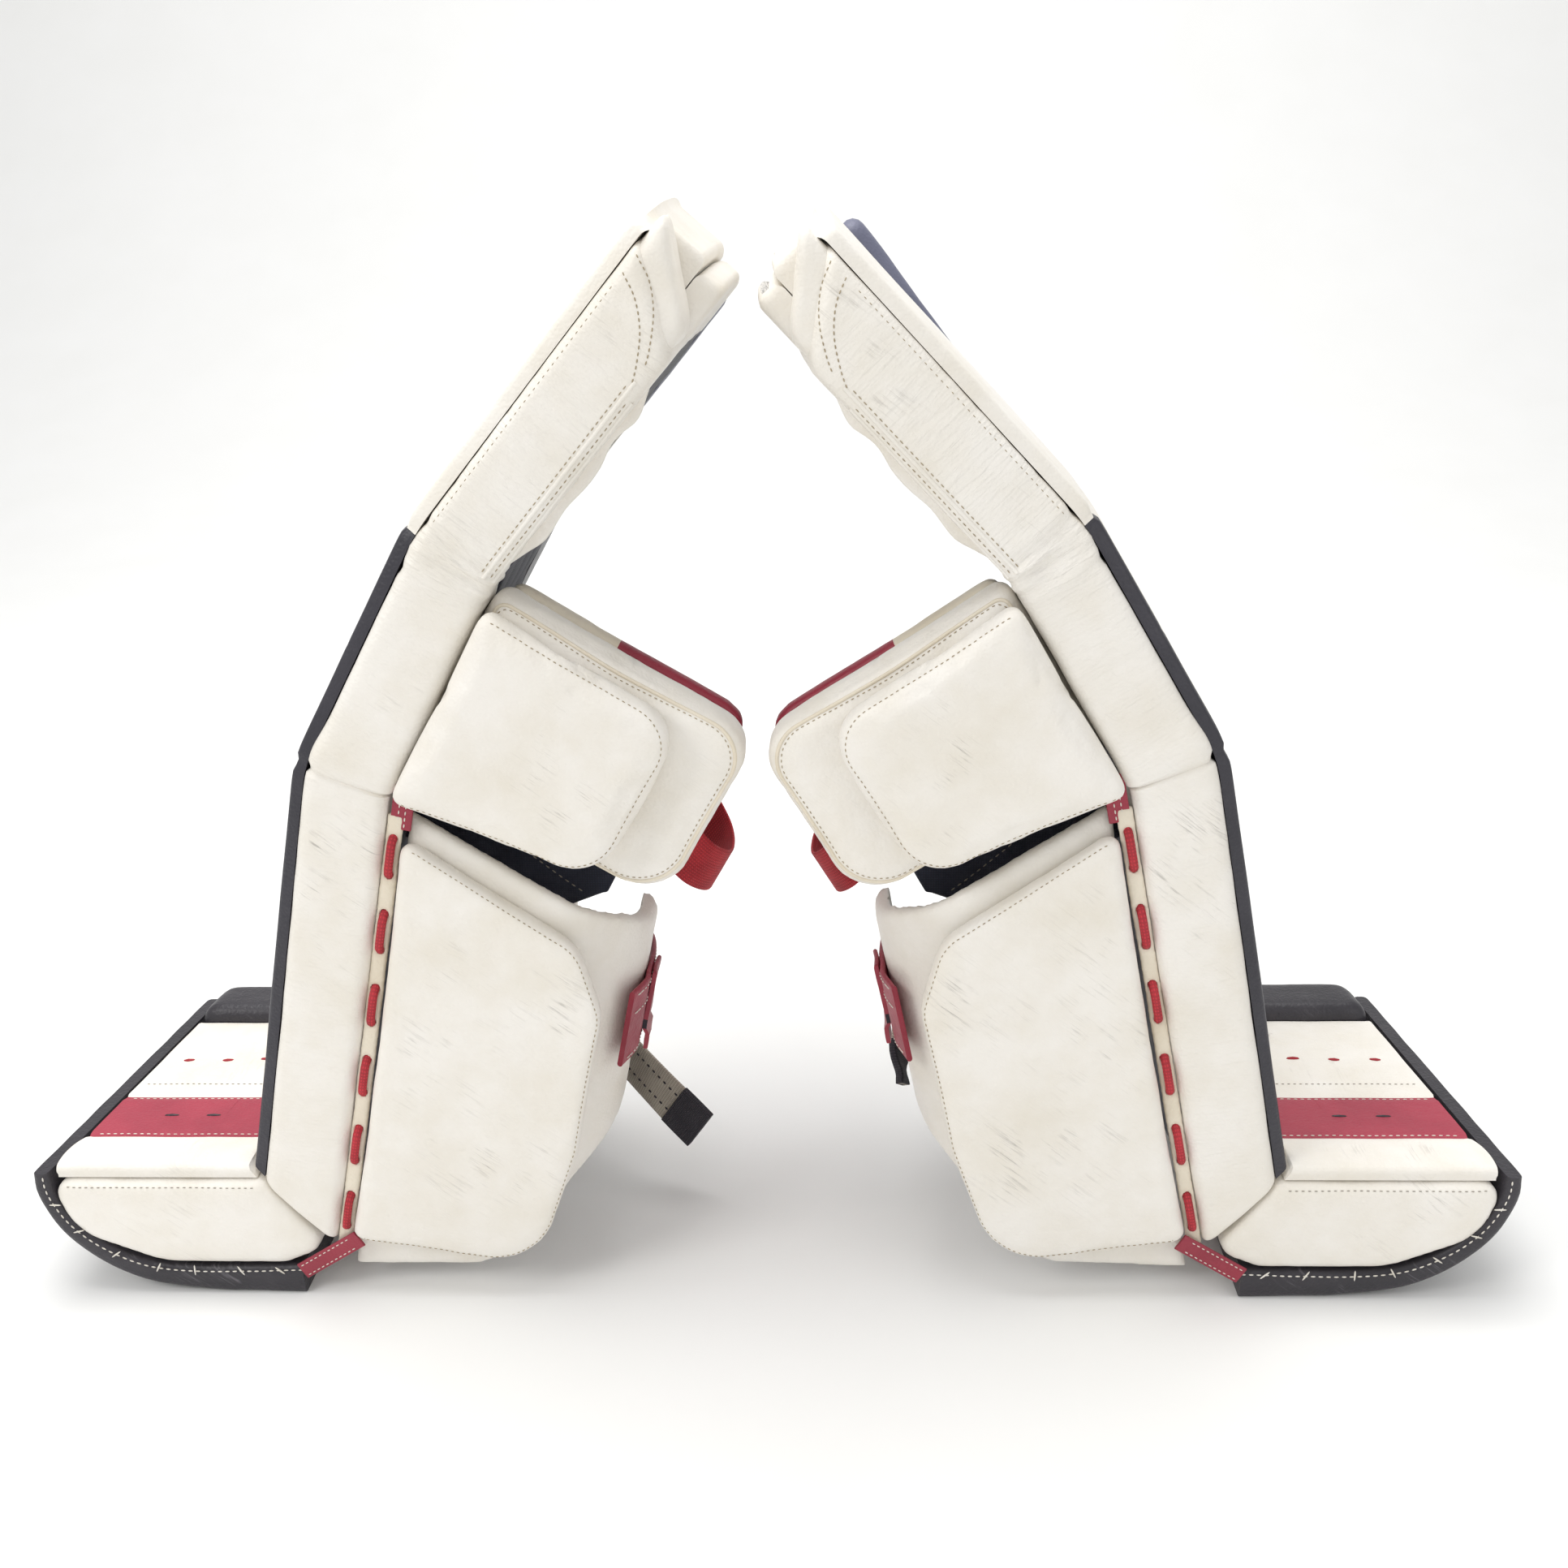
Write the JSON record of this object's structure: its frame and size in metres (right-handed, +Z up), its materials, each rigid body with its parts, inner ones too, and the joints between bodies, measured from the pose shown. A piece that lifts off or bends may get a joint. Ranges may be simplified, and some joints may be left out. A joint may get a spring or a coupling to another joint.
{
  "type": "ice hockey goalkeeper leg pads",
  "caption": "Pair of padded ice hockey goalkeeper leg pads with boot, shin, knee and thigh sections, knee blocks, calf flaps and straps.",
  "frame": {"origin": "on the floor, under the middle of the pair", "axes": "+X from the right leg's pad to the left leg's, along the line from toe to toe; +Y from the pads' inner sides to their outer sides; +Z up"},
  "size_m": [1.0832, 0.293, 0.769],
  "materials": {
    "white_leather": "grained white synthetic leather",
    "black_leather": "grained black synthetic leather",
    "maroon_leather": "grained maroon synthetic leather",
    "navy_nylon": "woven navy nylon lining",
    "red_web": "woven red nylon webbing",
    "red_lace": "round braided lace",
    "grey_elastic": "woven grey elastic",
    "foam": "white synthetic leather over foam",
    "board": "satin plastic sheet"
  },
  "bodies": {
    "right_shin": {"right_shin_core": "foam", "right_shin_edge_roll": "white_leather", "right_shin_liner": "navy_nylon", "right_shin_outer_roll": "black_leather", "right_lace_strip": "white_leather", "right_calf_lace": "red_lace"},
    "right_calf_flap": {"right_calf_plate": "white_leather", "right_calf_wrap": "white_leather", "right_calf_strap": "maroon_leather"},
    "right_calf_wing": {"right_calf_wing": "white_leather", "right_heel_strap": "grey_elastic"},
    "right_knee": {"right_knee_core": "foam", "right_knee_edge_roll": "white_leather", "right_knee_outer_roll": "black_leather", "right_knee_liner": "navy_nylon", "right_knee_cradle": "navy_nylon"},
    "right_knee_flap": {"right_knee_landing_pad": "white_leather", "right_knee_block": "white_leather", "right_knee_flap_panel": "maroon_leather"},
    "right_knee_wing": {"right_knee_wing": "white_leather", "right_knee_strap": "red_web"},
    "right_thigh": {"right_thigh_edge_roll": "white_leather", "right_thigh_outer_roll": "navy_nylon", "right_thigh_core": "foam", "right_thigh_board": "board", "right_thigh_liner": "navy_nylon"},
    "right_boot": {"right_boot_edge": "white_leather", "right_boot_core": "foam", "right_boot_outer_roll": "black_leather", "right_boot_sole": "black_leather"},
    "left_shin": {"left_shin_core": "foam", "left_shin_edge_roll": "white_leather", "left_shin_liner": "navy_nylon", "left_shin_outer_roll": "black_leather", "left_lace_strip": "white_leather", "left_calf_lace": "red_lace"},
    "left_calf_flap": {"left_calf_plate": "white_leather", "left_calf_wrap": "white_leather", "left_calf_strap": "maroon_leather"},
    "left_calf_wing": {"left_calf_wing": "white_leather", "left_heel_strap": "grey_elastic"},
    "left_knee": {"left_knee_core": "foam", "left_knee_edge_roll": "white_leather", "left_knee_outer_roll": "black_leather", "left_knee_liner": "navy_nylon", "left_knee_cradle": "navy_nylon"},
    "left_knee_flap": {"left_knee_landing_pad": "white_leather", "left_knee_block": "white_leather", "left_knee_flap_panel": "maroon_leather"},
    "left_knee_wing": {"left_knee_wing": "white_leather", "left_knee_strap": "red_web"},
    "left_thigh": {"left_thigh_edge_roll": "white_leather", "left_thigh_outer_roll": "navy_nylon", "left_thigh_core": "foam", "left_thigh_board": "board", "left_thigh_liner": "navy_nylon"},
    "left_boot": {"left_boot_edge": "white_leather", "left_boot_core": "foam", "left_boot_outer_roll": "black_leather", "left_boot_sole": "black_leather"}
  },
  "joints": [
    {"name": "right_knee_break", "type": "hinge", "parent": "right_shin", "child": "right_knee", "pos_m": [-0.322, 0.007, 0.42761], "axis": [0, 1, 0], "range_deg": [-12, 3]},
    {"name": "right_thigh_break", "type": "hinge", "parent": "right_knee", "child": "right_thigh", "pos_m": [-0.22877, 0.007, 0.58884], "axis": [0, 1, 0], "range_deg": [-12, 5]},
    {"name": "right_ankle_break", "type": "hinge", "parent": "right_shin", "child": "right_boot", "pos_m": [-0.37679, 0.007, 0.1089], "axis": [0, -1, 0], "range_deg": [-12, 5]},
    {"name": "right_knee_flap_hinge", "type": "hinge", "parent": "right_knee", "child": "right_knee_flap", "pos_m": [-0.20034, -0.1465, 0.47139], "axis": [-0.5015, 0, -0.8652], "range_deg": [0, 50]},
    {"name": "right_knee_wing_hinge", "type": "hinge", "parent": "right_knee", "child": "right_knee_wing", "pos_m": [-0.2179, 0.1465, 0.44111], "axis": [0.5015, 0, 0.8652], "range_deg": [0, 50]},
    {"name": "right_calf_flap_hinge", "type": "hinge", "parent": "right_shin", "child": "right_calf_flap", "pos_m": [-0.27461, -0.1365, 0.20058], "axis": [-0.2113, 0, -0.9774], "range_deg": [0, 60]},
    {"name": "right_calf_wing_hinge", "type": "hinge", "parent": "right_shin", "child": "right_calf_wing", "pos_m": [-0.28114, 0.1465, 0.22245], "axis": [0.2113, 0, 0.9774], "range_deg": [0, 50]},
    {"name": "left_knee_break", "type": "hinge", "parent": "left_shin", "child": "left_knee", "pos_m": [0.32706, 0.007, 0.42862], "axis": [0, -1, 0], "range_deg": [-12, 3]},
    {"name": "left_thigh_break", "type": "hinge", "parent": "left_knee", "child": "left_thigh", "pos_m": [0.23154, 0.007, 0.58928], "axis": [0, -1, 0], "range_deg": [-12, 5]},
    {"name": "left_ankle_break", "type": "hinge", "parent": "left_shin", "child": "left_boot", "pos_m": [0.37688, 0.007, 0.10883], "axis": [0, 1, 0], "range_deg": [-12, 5]},
    {"name": "left_knee_flap_hinge", "type": "hinge", "parent": "left_knee", "child": "left_knee_flap", "pos_m": [0.20475, -0.1465, 0.47124], "axis": [-0.512, 0, 0.859], "range_deg": [0, 50]},
    {"name": "left_knee_wing_hinge", "type": "hinge", "parent": "left_knee", "child": "left_knee_wing", "pos_m": [0.22267, 0.1465, 0.44117], "axis": [0.512, 0, -0.859], "range_deg": [0, 50]},
    {"name": "left_calf_flap_hinge", "type": "hinge", "parent": "left_shin", "child": "left_calf_flap", "pos_m": [0.27624, -0.1365, 0.20204], "axis": [-0.1959, 0, 0.9806], "range_deg": [0, 60]},
    {"name": "left_calf_wing_hinge", "type": "hinge", "parent": "left_shin", "child": "left_calf_wing", "pos_m": [0.2831, 0.1465, 0.2238], "axis": [0.1959, 0, -0.9806], "range_deg": [0, 50]},
    {"name": "pads_apart", "type": "slide", "parent": "right_shin", "child": "left_shin", "axis": [1, 0, 0], "range_m": [0, 0.2]}
  ]
}
